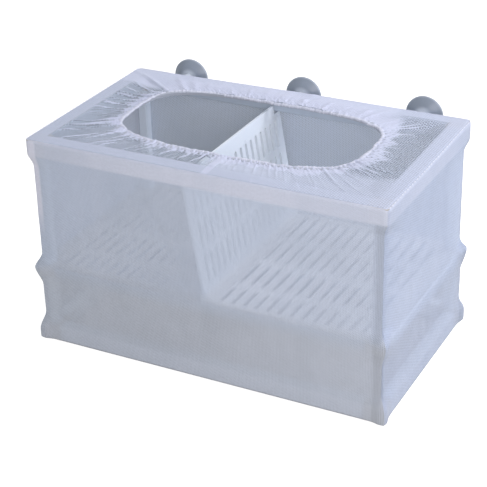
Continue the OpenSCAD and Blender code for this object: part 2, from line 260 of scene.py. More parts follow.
def weave(tree, spacing, openness, wander):
    """Mask of a six-sided mesh, 0 in the holes and 1 on the threads, laid out by the cloth's own UVs.

    Three sets of waves peak together at the holes' middles, and thread starts where their sum falls under
    openness. Wander makes the holes uneven.
    """
    cloth = tree.node("UVMap", uv_map="cloth").outputs[0]
    place = tree.node("SeparateXYZ", {"Vector": cloth})
    turn = 4 * math.pi / math.sqrt(3) / spacing
    total = 0.0
    for angle in (0.0, math.pi / 3, 2 * math.pi / 3):
        across = tree.math("MULTIPLY", place.outputs["X"], turn * math.cos(angle))
        up = tree.math("MULTIPLY", place.outputs["Y"], turn * math.sin(angle))
        total = tree.math("ADD", tree.math("COSINE", tree.math("ADD", across, up), 0.5), total)
    if wander:
        uneven = tree.math("SUBTRACT", tree.noise(cloth, WANDER_SIZE / spacing, 1.0), 0.5)
        total = tree.math("ADD", total, tree.math("MULTIPLY", uneven, wander))
    return tree.remap(total, openness, openness - HOLE_EDGE)


def net_alpha(tree, threads, bunch, patches, hole_alpha, thread_alpha):
    """How opaque the net is: more on its threads and where it is bunched, less for light going through."""
    hole = tree.remap(patches, 0.3, 0.7, hole_alpha - 0.05, hole_alpha + 0.06)
    filled = tree.remap(bunch, 0.0, FULLY_BUNCHED, hole, BUNCHED_HOLE, soft=False)
    lines = tree.remap(bunch, 0.0, FULLY_BUNCHED, thread_alpha, BUNCHED_THREAD, soft=False)
    solid = tree.remap(threads, 0.0, 1.0, filled, lines, soft=False)
    path = tree.node("LightPath")
    passing = tree.math("MAXIMUM", path.outputs["Is Shadow Ray"], path.outputs["Is Diffuse Ray"])
    return tree.math("MULTIPLY", solid, tree.remap(passing, 0.0, 1.0, 1.0, NET_GLOW, soft=False))


def net_colour(tree, threads, bunch, place, tones, depth):
    """The net's tone by height and bunch, darker in its holes and in fine specks. Its change with height is
    painted light and shade, and where bunch is below 0 it is darkened as painted shade.
    """
    upper, lower, bunched = tones
    height = tree.node("SeparateXYZ", {"Vector": place}).outputs["Z"]
    # the tone's change with height is painted light and shade
    single = tree.mix(tree.remap(height, TONE_FROM, TONE_TO), lower, upper)
    hollow = tree.remap(bunch, 0.2, 0.7, depth, 0.12 * depth)
    in_holes = tree.math("SUBTRACT", 1.0, tree.math("MULTIPLY", hollow, tree.math("SUBTRACT", 1.0, threads)))
    # painted shade along upright edges, where bunch is below 0
    painted_edge_shade = tree.remap(bunch, -1.0, 0.0, DARKEST_PAINTED_SHADE, 1.0, soft=False)
    shaded = tree.shade(tree.mix(bunch, single, bunched), tree.math("MULTIPLY", in_holes, painted_edge_shade))
    return tree.shade(shaded, tree.remap(tree.noise(place, NET_GRAIN, 2.0), 0.35, 0.65, DARKEST_SPECK, 1.0))


def net_material(name, tones, hole_alpha, thread_alpha, spacing, openness, depth, wander=0.0):
    """Fine polyester mesh, with one tone above the middle ring and another under it, as painted light and
    shade.

    The vertex value "bunch" says how many layers lie together, from one at 0 to a dense hem at 1. Below 0 it
    shades.
    """
    tree = Tree(name)
    threads = weave(tree, spacing, openness, wander)
    bunch = tree.node("Attribute", attribute_name="bunch").outputs["Fac"]
    place = tree.node("TexCoord").outputs["Object"]
    patches = tree.noise(place, NET_CLOUDS, 3.0)
    alpha = net_alpha(tree, threads, bunch, patches, hole_alpha, thread_alpha)
    colour = net_colour(tree, threads, bunch, place, tones, depth)
    tree.set(Base_Color=colour, Alpha=alpha, Roughness=0.55, Sheen_Weight=0.15)
    tree.bump(threads, tree.remap(bunch, 0.2, 0.7, 0.35, 0.12), THREAD_BUMP)
    return tree.material


PLASTIC_CLOUDS = 40.0    # scale of the plastic's mottling
PLASTIC_PEEL = 1200.0    # scale of its orange peel
PEEL_BUMP = 0.3 * MM
MOTTLE = 0.04            # how much paler and darker the mottling is
HANDLED = 0.07           # how much rougher and smoother handling has made it


def plastic_material(name, colour, roughness, alpha=1.0):
    """Moulded or extruded plastic with faint mottling, soft orange peel and handling marks."""
    tree = Tree(name)
    place = tree.node("TexCoord").outputs["Object"]
    clouds = tree.noise(place, PLASTIC_CLOUDS, 4.0)
    darker = tuple(c * (1 - MOTTLE) for c in colour)
    paler = tuple(min(1.0, c * (1 + MOTTLE)) for c in colour)
    marks = tree.remap(clouds, 0.3, 0.7, roughness - HANDLED, roughness + HANDLED)
    tree.set(Base_Color=tree.mix(clouds, darker, paler), Alpha=alpha, Roughness=marks)
    tree.bump(tree.noise(place, PLASTIC_PEEL, 2.0), 0.12, PEEL_BUMP)
    return tree.material


# Parts of a suction cup's face, as shares of its width from the middle: where a paler tone begins and is full
CUP_HUB = (0.30, 0.17)
CUP_RIM = (0.470, 0.492)
CUP_CLOUDS = 90.0
CUP_BUMP = 0.4 * MM


def cup_material(name, disc, hub):
    """Soft vinyl, paler over the thick hub and at the rim."""
    tree = Tree(name)
    generated = tree.node("TexCoord").outputs["Generated"]
    middle = tree.node("VectorMath", {0: generated, 1: (0.5, 0.5, 0.5)}, operation="SUBTRACT")
    apart = tree.node("SeparateXYZ", {"Vector": middle.outputs[0]})
    flat = tree.node("CombineXYZ", {"X": apart.outputs["X"], "Y": apart.outputs["Z"]})
    radius = tree.node("VectorMath", {0: flat.outputs[0]}, operation="LENGTH").outputs["Value"]
    clouds = tree.noise(tree.node("TexCoord").outputs["Object"], CUP_CLOUDS, 4.0)
    tone = tree.mix(tree.remap(clouds, 0.3, 0.7), disc, tuple(1.12 * c for c in disc))
    tone = tree.mix(tree.remap(radius, *CUP_HUB, 0.0, 1.0), tone, hub)
    tone = tree.mix(tree.remap(radius, *CUP_RIM, 0.0, 0.45), tone, hub)
    tree.set(Base_Color=tone, Alpha=0.92, Roughness=tree.remap(clouds, 0.3, 0.7, 0.28, 0.42))
    tree.bump(clouds, 0.15, CUP_BUMP)
    return tree.material


# ---------------------------------------------------------------- meshes

def make_mesh(name, points, faces, uv, bunch):
    """A smooth piece of cloth, with its UVs and its bunch given for each point."""
    mesh = bpy.data.meshes.new(name)
    mesh.from_pydata([tuple(p) for p in points], [], faces)
    layer = mesh.uv_layers.new(name="cloth")
    corners = np.zeros(len(mesh.loops), dtype=np.int32)
    mesh.loops.foreach_get("vertex_index", corners)
    layer.data.foreach_set("uv", np.asarray(uv, dtype=np.float32)[corners].ravel())
    value = mesh.attributes.new("bunch", "FLOAT", "POINT")
    value.data.foreach_set("value", np.asarray(bunch, dtype=np.float32).ravel())
    mesh.polygons.foreach_set("use_smooth", np.ones(len(mesh.polygons), dtype=bool))
    mesh.update()
    piece = bpy.data.objects.new(name, mesh)
    bpy.context.scene.collection.objects.link(piece)
    return piece


def grid_faces(rows, columns, closed=False):
    """Faces of a grid whose points run row by row. A closed grid joins each row's last point to its first."""
    faces = []
    for row in range(rows - 1):
        for column in range(columns if closed else columns - 1):
            after = (column + 1) % columns
            a, b = row * columns, (row + 1) * columns
            faces.append((a + column, a + after, b + after, b + column))
    return faces


def smooth_step(value, start, end):
    t = np.clip((value - start) / (end - start), 0.0, 1.0)
    return t * t * (3 - 2 * t)


def waves(position, seed, longest, count=6, around=None):
    """Smooth repeatable noise in one variable, about -1 to 1. Given a loop's length, it closes round it."""
    draw = random.Random(seed)
    total = np.zeros_like(position, dtype=float)
    weight = 0.0
    for k in range(count):
        size = 0.8 ** k
        span = longest / (1 + k * 0.83)
        if around:
            span = around / max(1, round(around / span))
        total += size * np.sin(2 * math.pi * position / span + draw.uniform(0, PHASES))
        weight += size * size
    return total / math.sqrt(weight) * 0.9


# ---------------------------------------------------------------- side and bottom nets

CORNER_R = 3.4 * MM                        # rounding of the net's upright edges
EDGE_R = 2.0 * MM                          # rounding of the net's top edges
SEAM_IN = EDGE_R * (1 - math.sqrt(0.5))    # where the top panel meets the sides, half way round that edge
FOOT_R = 1.5 * MM                          # rounding of the net's bottom edges
FOOT_SHARE = 0.8                           # how much of that rounding the net follows

DIP_UPPER = POST_INSET - 0.25 * MM         # how far the net pulls in at the posts, over the middle ring
DIP_LOWER = 2.1 * MM                       # and under it
DIP_MIDDLE = 0.3 * MM                      # and between the posts
DIP_REACH = 15 * MM                        # how far from its upright edges it pulls in to the posts
DIP_RUN = 10 * MM                          # height over which it runs in from a ring, at the posts
DIP_RUN_MORE = 3 * MM                      # and how much more between them

POINT_OUT = 1.7 * MM                       # how far the middle ring's corners push the net out
POINT_UNDER = 1.5 * MM                     # how far under the ring's top they push most
POINT_HEIGHT = 5.5 * MM
POINT_REACH = 9 * MM
FLARE_OUT = 2.1 * MM                       # how far the bottom ring's corners push it out
FLARE_REACH = 6.5 * MM
FLARE_FROM = 0.55 * BOTTOM_RING_TOP        # the height where that begins to fade
FLARE_TO = BOTTOM_RING_TOP + 6 * MM        # and where it ends

SLACK = 0.09 * MM                          # how unevenly the net lies between the rings
SLACK_RUN = 12 * MM
BACK_LIFT = 1.3 * MM                       # how loosely the net lies on the back rail
RAIL_BUNCH_AND_TOP_HIGHLIGHT = 0.62                          # how dense the net is over the top rails, and how pale the sides are under the seam, a painted highlight along the top edge
END_THINNER = 0.30                         # how much thinner it is over a top rail's ends than its middle
FOOT_BUNCH = 0.10                          # how dense it is over the bottom rails
BUNCH_UNEVEN = 0.03                        # and how unevenly dense everywhere
EDGE_STRIP = (7.0 * MM, 9.0 * MM)          # where the folded strip along an upright edge thins, and ends
STRIP_FADE = (15 * MM, 50 * MM)            # heights over the middle ring between which a paler strip comes up
SIDE_ROWS = 160
BOTTOM_GRID = (120, 70)
BOTTOM_IN = 0.8 * MM                       # how far the bottom net's edge lies inside the box's outline
BOTTOM_Z = 0.05 * MM
BOTTOM_RAISED = 0.35 * MM                  # how far the rest of it comes up

# Each side's net: the solid that it replaces, half of its length, its distance from the middle, its turn,
# its seed, its columns, how dense it is over the top rail, and how dense along its two upright edges, where
# a value below 0 is painted shade, and the front net's pale left edge is partly painted light
SIDE_NETS = (
    ("front_net", "net_front", HALF_L, HALF_D, math.pi, 1, 260, 0.60, (-0.55, 1.0)),
    ("back_net", "net_back", HALF_L, HALF_D, 0.0, 2, 260, 0.76, (0.5, 0.5)),
    ("left_net", "net_left", HALF_D, HALF_L, math.pi / 2, 3, 160, 0.45, (0.5, 0.5)),
    ("right_net", "net_right", HALF_D, HALF_L, -math.pi / 2, 4, 160, 0.45, (-0.3, 0.0)),
)


def lift(x, y):
    """How much higher the loose net lies at the back and to the right."""
    return BACK_LIFT * smooth_step(y, -0.3 * HALF_D, HALF_D) * smooth_step(x, -HALF_L, 0.3 * HALF_L)


def between(z, start, run, end):
    """1 between two rings, running in from 0 at their faces."""
    return smooth_step(z, start, start + run) * (1 - smooth_step(z, end - run, end))


def net_inset(z, from_corner):
    """How far the net lies inside the box's outline, by its height and its distance from an upright edge."""
    at_post = np.exp(-((from_corner / DIP_REACH) ** 1.6))
    run = DIP_RUN + DIP_RUN_MORE * (1 - at_post)
    upper_dip = DIP_MIDDLE + (DIP_UPPER - DIP_MIDDLE) * at_post
    lower_dip = DIP_MIDDLE + (DIP_LOWER - DIP_MIDDLE) * at_post
    upper = upper_dip * between(z, MID_TOP - 1 * MM, run, TOP_LOW + 1 * MM)
    lower = lower_dip * between(z, BOTTOM_RING_TOP - 1 * MM, run, MID_LOW + 0.5 * MM)
    at_point = np.exp(-((from_corner / POINT_REACH) ** 2))
    point = POINT_OUT * np.exp(-(((z - (MID_TOP - POINT_UNDER)) / POINT_HEIGHT) ** 2))
    at_flare = np.exp(-((from_corner / FLARE_REACH) ** 2))
    flare = FLARE_OUT * (1 - smooth_step(z, FLARE_FROM, FLARE_TO))
    return upper + lower - at_point * point - at_flare * flare


def edge_round(rise, radius):
    """Inset of a rounded edge, for a height over the start of the rounding."""
    return radius - np.sqrt(np.clip(radius ** 2 - np.clip(rise, 0, radius) ** 2, 0, None))


def side_points(s, z, half_length, reach, seed):
    """A side's net, facing the back, on a grid of places along it and heights.

    Its ends go half way round the box's rounded corners. The dips carry on to the corner's diagonal, and the
    rounding at the top and the bottom follows the surface.
    """
    inset = net_inset(z, np.clip(half_length - np.abs(s), 0, None))
    slack = between(z, MID_TOP, SLACK_RUN, TOP_LOW) + between(z, BOTTOM_RING_TOP, SLACK_RUN, MID_LOW)
    inset += SLACK * (waves(s + 0.3 * z, seed, 90 * MM) + waves(s - 0.5 * z, seed + 7, 55 * MM)) * slack
    rounding = edge_round(z - (BOX_TOP - EDGE_R), EDGE_R) + edge_round(FOOT_R - z, FOOT_R) * FOOT_SHARE
    flat_half = half_length - CORNER_R
    angle = np.clip(np.abs(s) - flat_half, 0.0, None) / CORNER_R
    x = np.minimum(np.abs(s), flat_half) + (CORNER_R - rounding) * np.sin(angle) - inset * np.tan(angle)
    x *= np.sign(s)
    y = reach - CORNER_R + (CORNER_R - rounding) * np.cos(angle) - inset
    return np.stack([x, y, z], axis=-1).reshape(-1, 3)


def side_bunch(s, z, half_length, seed, band, edges):
    """How dense a side's net is: over the top rail, along upright edges and at its foot. Under the seam its
    paleness is a painted highlight, and along upright edges painted light and shade lie with the folded
    layers.
    """
    over_top = smooth_step(z, TOP_LOW - 1.2 * MM, TOP_LOW + 1.2 * MM)
    over_bottom = 1 - smooth_step(z, BOTTOM_RING_TOP - 1 * MM, BOTTOM_RING_TOP + 2 * MM)
    # painted highlight: the sides' net paler just under the seam, along the rounded top edge
    painted_top_highlight = smooth_step(z, BOX_TOP - 5 * MM, BOX_TOP - 1 * MM)
    at_edge = np.where(s < 0, *edges) * (1 - smooth_step(half_length - np.abs(s), *EDGE_STRIP))
    # paler strips along upright edges: folded layers, and on the front net's left edge partly painted light
    paler = np.clip(at_edge, 0, None) * smooth_step(z, *(MID_TOP + rise for rise in STRIP_FADE))
    # painted shade along an upright edge, where its value is below 0
    darker = np.clip(at_edge, None, 0) * (1 - over_top)
    thinner = 1 - END_THINNER * smooth_step(np.abs(s), 0.35 * half_length, 0.85 * half_length)
    bunch = np.maximum.reduce([band * thinner * over_top, RAIL_BUNCH_AND_TOP_HIGHLIGHT * painted_top_highlight, paler]) + darker
    return bunch + (FOOT_BUNCH * over_bottom + BUNCH_UNEVEN * (1 + waves(s, seed + 1, 60 * MM)))


def side_net(name, node, half_length, reach, turn, seed, columns, band, edges):
    """One side's net, with the values of its row in SIDE_NETS."""
    end = half_length - CORNER_R + CORNER_R * math.pi / 4
    s, z = np.meshgrid(np.linspace(-end, end, columns), np.linspace(0.0, BOX_TOP - SEAM_IN, SIDE_ROWS))
    c, w = math.cos(turn), math.sin(turn)
    points = side_points(s, z, half_length, reach, seed) @ np.array([[c, w, 0], [-w, c, 0], [0, 0, 1]])
    points[:, 2] += lift(points[:, 0], points[:, 1]) * smooth_step(points[:, 2], TOP_LOW, BOX_TOP)
    uv = np.stack([s, z], axis=-1).reshape(-1, 2)
    bunch = side_bunch(s, z, half_length, seed, band, edges)
    piece = make_mesh(name, points, grid_faces(SIDE_ROWS, columns), uv, bunch)
    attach(piece, BASKET)
    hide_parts(node)
    return piece


def bottom_net():
    columns, rows = BOTTOM_GRID
    half_l, half_d = HALF_L - BOTTOM_IN, HALF_D - BOTTOM_IN
    x, y = np.meshgrid(np.linspace(-half_l, half_l, columns), np.linspace(-half_d, half_d, rows))
    from_edge = np.minimum(HALF_L - np.abs(x), HALF_D - np.abs(y))
    raised = BOTTOM_RAISED * smooth_step(from_edge, 12 * MM, 30 * MM)
    z = BOTTOM_Z + raised * (1 + 0.5 * waves(x + y, 5, 80 * MM))
    points = np.stack([x, y, z], axis=-1).reshape(-1, 3)
    uv = np.stack([x, y], axis=-1).reshape(-1, 2)
    piece = make_mesh("bottom_net", points, grid_faces(rows, columns), uv, np.full(rows * columns, 0.1))
    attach(piece, BASKET)
    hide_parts("net_bottom")
    return piece


# ---------------------------------------------------------------- gathered top net

SPOKES = 1080                    # points of the top net round the mouth
RINGS = 76                       # and from the mouth to the seam
MESH_DRAWN = 1.15                # how much longer the mesh's holes are from front to back than across
HEM_Z = BOX_TOP - 1.5 * MM       # middle of the hem's roll
NET_Z = BOX_TOP - 0.08 * MM      # the net over the rails
SLOPE_RUN = 14 * MM              # distance in from the rails over which it slopes down to the hem
LIFT_RUN = 16 * MM               # and over which it is loose
HEM_REACH = 0.3 * HEM_W          # where the top net starts, out from the mouth's edge
PULL = 0.40 * MM                 # how unevenly the elastic pulls the mouth's edge

# Squareness of each quarter of the mouth, where 2 is an ellipse
SQUARE = {"back_left": 4.4, "back_right": 3.6, "front_left": 3.1, "front_right": 3.3}

# How the net gathers at each part of the mouth, in millimetres and shares: distance between folds, their half
# width and height, how much of the way to the rail they run, how many layers lie in them and in the net
# between them, and the dense zone's width
FOLD_KEYS = ("gap", "half_width", "height", "reach", "layers", "between", "dense")
FOLDS = {
    "left": (5.2, 0.95, 1.7, 1.40, 1.00, 0.00, 6.5),
    "right": (4.8, 1.00, 1.1, 0.75, 0.90, 0.27, 10.0),
    "front_left": (4.6, 0.90, 0.7, 1.20, 0.80, 0.06, 7.5),
    "front_right": (4.8, 0.80, 0.40, 1.30, 1.00, 0.58, 8.0),
    "back": (9.5, 2.10, 0.7, 1.20, 0.98, 0.84, 13.0),
}

# How much the folds differ from each other, as factors, and how far they lean and wobble, in millimetres
GAP_FACTORS = (0.4, 1.6)
WIDTH_FACTORS = (0.6, 1.5)
REACH_FACTORS = (0.55, 1.2)
LEAN = 2.0
WOBBLE = 0.15

WEAKEST = 0.30                   # strength of the weakest fold
STRONGER = 1.2                   # and how much more the strongest has
RIPPLE = 0.25                    # how much a fold's height differs along its way
RIPPLE_TURNS = (5, 11)           # radians of that on the way
RIPPLE_SHIFT = 900               # and from fold to fold, for each metre of the hem

# Broad folds that the divider's top draws into the net: place along X, side of the mouth, half width, height
DIVIDER_FOLDS = ((-2.5 * MM, 1, 3.4 * MM, 0.5 * MM), (3.5 * MM, -1, 3.2 * MM, 0.6 * MM))

RUFFLE_LENGTH = 5.0 * MM         # the longest of the fine wrinkles near the hem
RUFFLE_SLANT = 3.5 * MM          # distance out from the hem in which a wrinkle may cross to the next
RUFFLE_AT_HEM = 0.30             # their height at the hem, in millimetres
RUFFLE_NEAR = 0.06               # and in the rest of the dense zone
DENSE_LIFT = 0.35 * MM           # how much higher the net lies in that zone


def power(value, exponent):
    return np.sign(value) * np.abs(value) ** exponent


def mouth_outline(grow):
    """Points round the mouth, widened all round by grow."""
    a = np.linspace(0, 2 * math.pi, SPOKES, endpoint=False)
    c, s = np.cos(a), np.sin(a)
    back = np.where(c < 0, SQUARE["back_left"], SQUARE["back_right"])
    front = np.where(c < 0, SQUARE["front_left"], SQUARE["front_right"])
    bend = 2 / np.where(s > 0, back, front)
    x = MOUTH_C.x + (MOUTH_A + grow) * power(c, bend)
    y = MOUTH_C.y + (MOUTH_B + grow) * power(s, bend)
    return np.stack([x, y], axis=-1)


def outward(loop):
    """Unit normals of a loop, pointing away from its middle."""
    along = np.roll(loop, -1, axis=0) - np.roll(loop, 1, axis=0)
    normal = np.stack([along[:, 1], -along[:, 0]], axis=-1)
    return normal / np.linalg.norm(normal, axis=1, keepdims=True)


def evenly(loop, count):
    """A loop with its points evenly apart: (points, distances along it, length)."""
    closed = np.vstack([loop, loop[:1]])
    steps = np.linalg.norm(np.diff(closed, axis=0), axis=1)
    length = np.concatenate([[0], np.cumsum(steps)])
    at = np.linspace(0, length[-1], count, endpoint=False)
    even = np.stack([np.interp(at, length, closed[:, k]) for k in (0, 1)], axis=-1)
    return even, at, length[-1]


def pulled(loop, at, length):
    """The mouth's outline with the uneven pull of the elastic."""
    pull = PULL * waves(at, 41, 34 * MM, 5, around=length)
    return loop + outward(loop) * pull[:, None]


def inside_edge(x, y, radius):
    """Distance in from the box's outline."""
    over = np.stack([np.abs(x) - (HALF_L - radius), np.abs(y) - (HALF_D - radius)])
    return radius - np.linalg.norm(np.maximum(over, 0), axis=0) - np.minimum(over.max(axis=0), 0)


def box_edge(start, direction, half_l, half_d, radius):
    """Where rays from inside meet a rounded rectangle."""
    with np.errstate(divide="ignore", invalid="ignore"):
        tx = (np.sign(direction[:, 0]) * half_l - start[:, 0]) / direction[:, 0]
        ty = (np.sign(direction[:, 1]) * half_d - start[:, 1]) / direction[:, 1]
    t = np.minimum(np.where(tx > 0, tx, np.inf), np.where(ty > 0, ty, np.inf))
    hit = start + direction * t[:, None]
    centre = np.sign(hit) * np.array([half_l - radius, half_d - radius])
    past = (np.abs(hit) > np.abs(centre)).all(axis=1)
    offset = hit - centre
    offset /= np.maximum(np.linalg.norm(offset, axis=1, keepdims=True), 1e-9)
    hit[past] = (centre + offset * radius)[past]
    return hit


def mouth_unit(x, y):
    """Places as shares of the mouth's half length and half depth."""
    return (x - MOUTH_C.x) / MOUTH_A, (y - MOUTH_C.y) / MOUTH_B


def fold_ways(loop):
    """Directions of the folds: half square to the hem and half away from the middle, forward at the left."""
    ray = loop - np.array([MOUTH_C.x, MOUTH_C.y])
    ray /= np.linalg.norm(ray, axis=1, keepdims=True)
    x, y = mouth_unit(loop[:, 0], loop[:, 1])
    forward = 0.32 * smooth_step(-x, 0.6, 0.95) * (1 - smooth_step(y, 0.2, 0.9))
    mixed = 0.5 * outward(loop) + 0.5 * ray
    mixed[:, 1] -= forward
    return mixed / np.linalg.norm(mixed, axis=1, keepdims=True)


def mouth_parts(x, y):
    """How much each part of the mouth's surroundings counts at places given as shares of the mouth's size."""
    back = smooth_step(y, 0.62, 0.98) * (1 - 0.75 * smooth_step(x, 0.85, 1.1))
    rest = 1 - back
    front = smooth_step(-y, 0.66, 0.98) * rest
    left = smooth_step(-x, 0.5, 0.95) * (rest - front)
    right = np.clip(rest - front - left, 0, None)
    split = smooth_step(x, -0.05, 0.15)
    return {
        "left": left,
        "right": right,
        "front_left": front * (1 - split),
        "front_right": front * split,
        "back": back,
    }


def fold_value(parts, key):
    """One of the FOLD_KEYS, blended between the parts of the mouth's surroundings."""
    column = FOLD_KEYS.index(key)
    return sum(parts[name] * FOLDS[name][column] for name in FOLDS)


def wrinkles(at, reach, length):
    """Fine wrinkles near the hem, which cross each other at a slant."""
    draw = random.Random(21)
    total = np.zeros_like(reach)
    for k in range(9):
        turns = round(length / (RUFFLE_LENGTH / (1 + 0.5 * k)))
        slant = draw.uniform(-1, 1) / RUFFLE_SLANT
        phase = 2 * math.pi * (turns * at / length + slant * reach) + draw.uniform(0, PHASES)
        total += 0.85 ** k * np.sin(phase)
    return 0.7 * total


def way_round(at, middle, length):
    """Distances to a place on a loop, the shorter way round."""
    return np.abs((at[None] - middle + length / 2) % length - length / 2)


def gathers(at, length, loop, t, spread):
    """Folds that the elastic draws into the net: (height, layers) at places round and out from the hem.

    Each point of the loop has its distance along the hem in at. The shares of the way from there to the box's
    edge are in t, and spread says how much wider apart the ways are than at the hem.
    """
    draw = random.Random(8)
    height = np.zeros((len(t), len(at)))
    layers = np.zeros_like(height)
    place = 0.0
    while place < length:
        x, y = mouth_unit(*loop[int(place / length * len(at)) % len(at)])
        parts = mouth_parts(float(x), float(y))
        gap, wide, high_up, reach, thick = (float(fold_value(parts, key)) for key in FOLD_KEYS[:5])
        strength = WEAKEST + STRONGER * draw.random() ** 2
        wide *= draw.uniform(*WIDTH_FACTORS)
        reach *= draw.uniform(*REACH_FACTORS)
        leaning = draw.uniform(-LEAN, LEAN) * t ** 1.5
        wobbling = draw.uniform(-WOBBLE, WOBBLE) * np.sin(6 * t)
        middle = (place + (leaning + wobbling) * MM) % length
        away = spread * way_round(at, middle, length)
        bell = np.exp(-((away / (wide * (0.8 + 0.4 * t) * MM)) ** 2))
        ripple = np.sin(draw.uniform(*RIPPLE_TURNS) * t + place * RIPPLE_SHIFT)
        along = (1 - smooth_step(t, 0.55 * reach, reach)) * (1 - RIPPLE + RIPPLE * ripple)
        height = np.maximum(height, high_up * strength * bell * along)
        layers = np.maximum(layers, min(1.0, thick * (0.55 + 0.5 * strength)) * bell * along)
        place += gap * draw.uniform(*GAP_FACTORS) * MM
    height *= MM
    for x, side, wide, high_up in DIVIDER_FOLDS:
        middle = at[np.argmin(np.abs(loop[:, 0] - x) + np.abs(loop[:, 1] - MOUTH_C.y - side * MOUTH_B))]
        away = spread * way_round(at, middle, length)
        bell = np.exp(-((away / wide) ** 4)) * (1 - smooth_step(t, 0.9, 1.3))
        height = np.maximum(height, high_up * bell)
        layers = np.maximum(layers, bell)
    return height, layers


def top_net():
    """The top panel: drawn into folds by the elastic, and flat on the rails."""
    loop, at, length = evenly(mouth_outline(HEM_REACH), SPOKES)
    rim = box_edge(loop, fold_ways(loop), HALF_L - SEAM_IN, HALF_D - SEAM_IN, CORNER_R - SEAM_IN)
    loop = pulled(loop, at, length)
    span = np.linalg.norm(rim - loop, axis=1)
    t = np.linspace(0, 1, RINGS)[:, None]
    xy = loop[None] + (rim - loop)[None] * t[..., None]
    reach = t * span[None]
    x, y = xy[..., 0], xy[..., 1]
    parts = mouth_parts(*mouth_unit(x, y))
    past_rail = np.maximum(np.abs(x) - RAIL_IN_X, np.abs(y) - RAIL_IN_Y)
    over_rail = smooth_step(past_rail, -1.5 * MM, 1 * MM)
    spread = np.linalg.norm(np.roll(xy, -1, axis=1) - xy, axis=2) / (length / SPOKES)
    folds, layers = gathers(at, length, loop, t, spread)

    dense = fold_value(parts, "dense") * MM * (1 + 0.35 * waves(at, 12, 45 * MM, around=length))[None]
    near = 1 - smooth_step(reach, 0.35 * dense, 1.35 * dense)
    at_hem = 1 - smooth_step(reach, 0.5 * MM, 6 * MM)
    ruffle = wrinkles(at[None], reach, length)
    calm = 1 - 0.6 * parts["back"]
    z = HEM_Z + (NET_Z - HEM_Z) * smooth_step(past_rail, -SLOPE_RUN, -0.5 * MM)
    z += folds * (1 - over_rail * (1 - 0.5 * parts["back"]))
    z += (RUFFLE_AT_HEM * ruffle * at_hem + RUFFLE_NEAR * ruffle * near) * calm * MM + DENSE_LIFT * near
    z = np.where(past_rail > -1 * MM, np.maximum(z, NET_Z), z)
    z -= edge_round(EDGE_R - inside_edge(x, y, CORNER_R), EDGE_R)
    z += lift(x, y) * smooth_step(past_rail, -LIFT_RUN, 0)

    bunch = np.maximum(fold_value(parts, "between"), layers) + near * (0.66 + 0.26 * ruffle)
    bunch = np.clip(np.maximum(bunch, RAIL_BUNCH_AND_TOP_HIGHLIGHT * over_rail), 0, 1)
    points = np.stack([x, y, z], axis=-1).reshape(-1, 3)
    uv = np.stack([x, y / MESH_DRAWN], axis=-1).reshape(-1, 2)
    piece = make_mesh("top_net", points, grid_faces(RINGS, SPOKES, closed=True), uv, bunch)
    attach(piece, BASKET)
    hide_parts("net_top")
    return piece


# ---------------------------------------------------------------- hem and seam

HEM_POINTS = 1440
HEM_SIDES = 18
HEM_HALF_W = 0.26 * HEM_W
HEM_HALF_H = 0.85 * MM
SEAM_POINTS = 2400
SEAM_SIDES = 8
SEAM_SHARE = 0.75                # how far inside the box's outline the seam runs, as a share of SEAM_IN
STITCH = 4.0 * MM
THREAD_HIDDEN = 0.05             # half thickness in millimetres of the seam's thread, where the net hides it
NEAR_END = (28 * MM, 22 * MM)    # distances from the box's ends where more of it begins to show, and does
THREAD_NEAR_END = 0.09           # how much more that is
THREAD_AT_END = 0.02             # and along the ends
THREAD_STITCH = 0.36             # and in each stitch there


def tube(name, path, radius_across, radius_up, sides, uv_scale, bunch):
    """A closed tube along a level loop. Radii and bunch have one value for each point of the loop."""
    normal = outward(path[:, :2])
    a = np.linspace(0, 2 * math.pi, sides, endpoint=False)[:, None]
    across = np.cos(a) * radius_across[None]
    up = np.sin(a) * radius_up[None]
    x = path[None, :, 0] + normal[None, :, 0] * across
    y = path[None, :, 1] + normal[None, :, 1] * across
    points = np.stack([x, y, path[None, :, 2] + up], axis=-1)
    count = len(path)
    faces = []
    for side in range(sides):
        here, there = side * count, (side + 1) % sides * count
        for k in range(count):
            after = (k + 1) % count
            faces.append((here + k, there + k, there + after, here + after))
    step = np.linalg.norm(path - np.roll(path, 1, axis=0), axis=1)
    along = np.broadcast_to(np.cumsum(step)[None] * uv_scale, across.shape)
    uv = np.stack([along, np.broadcast_to(a * HEM_W / 3, across.shape)], axis=-1)
    values = np.broadcast_to(bunch[None], across.shape)
    return make_mesh(name, points.reshape(-1, 3), faces, uv.reshape(-1, 2), values)


def hem():
    """The elastic edge: a soft flat roll of bunched net, ruffled all round."""
    loop, at, length = evenly(mouth_outline(HEM_HALF_W), HEM_POINTS)
    ruffle = 0.5 * waves(at, 31, 5.1 * MM, 7, around=length) + 0.4 * waves(at, 32, 2.6 * MM, 6, around=length)
    uneven = waves(at, 34, 70 * MM, 4, around=length)
    half_w = HEM_HALF_W * (1.0 + 0.22 * ruffle + 0.15 * uneven)
    half_h = HEM_HALF_H * (1.0 + 0.35 * ruffle)
    z = HEM_Z + 0.25 * MM * waves(at, 33, 40 * MM, around=length)
    path = np.column_stack([pulled(loop, at, length), z])
    piece = tube("mouth_ruffle", path, half_w, half_h, HEM_SIDES, 1.8, 0.60 + 0.40 * np.clip(ruffle, -1, 1))
    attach(piece, BASKET)
    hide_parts("mouth_hem")
    return piece


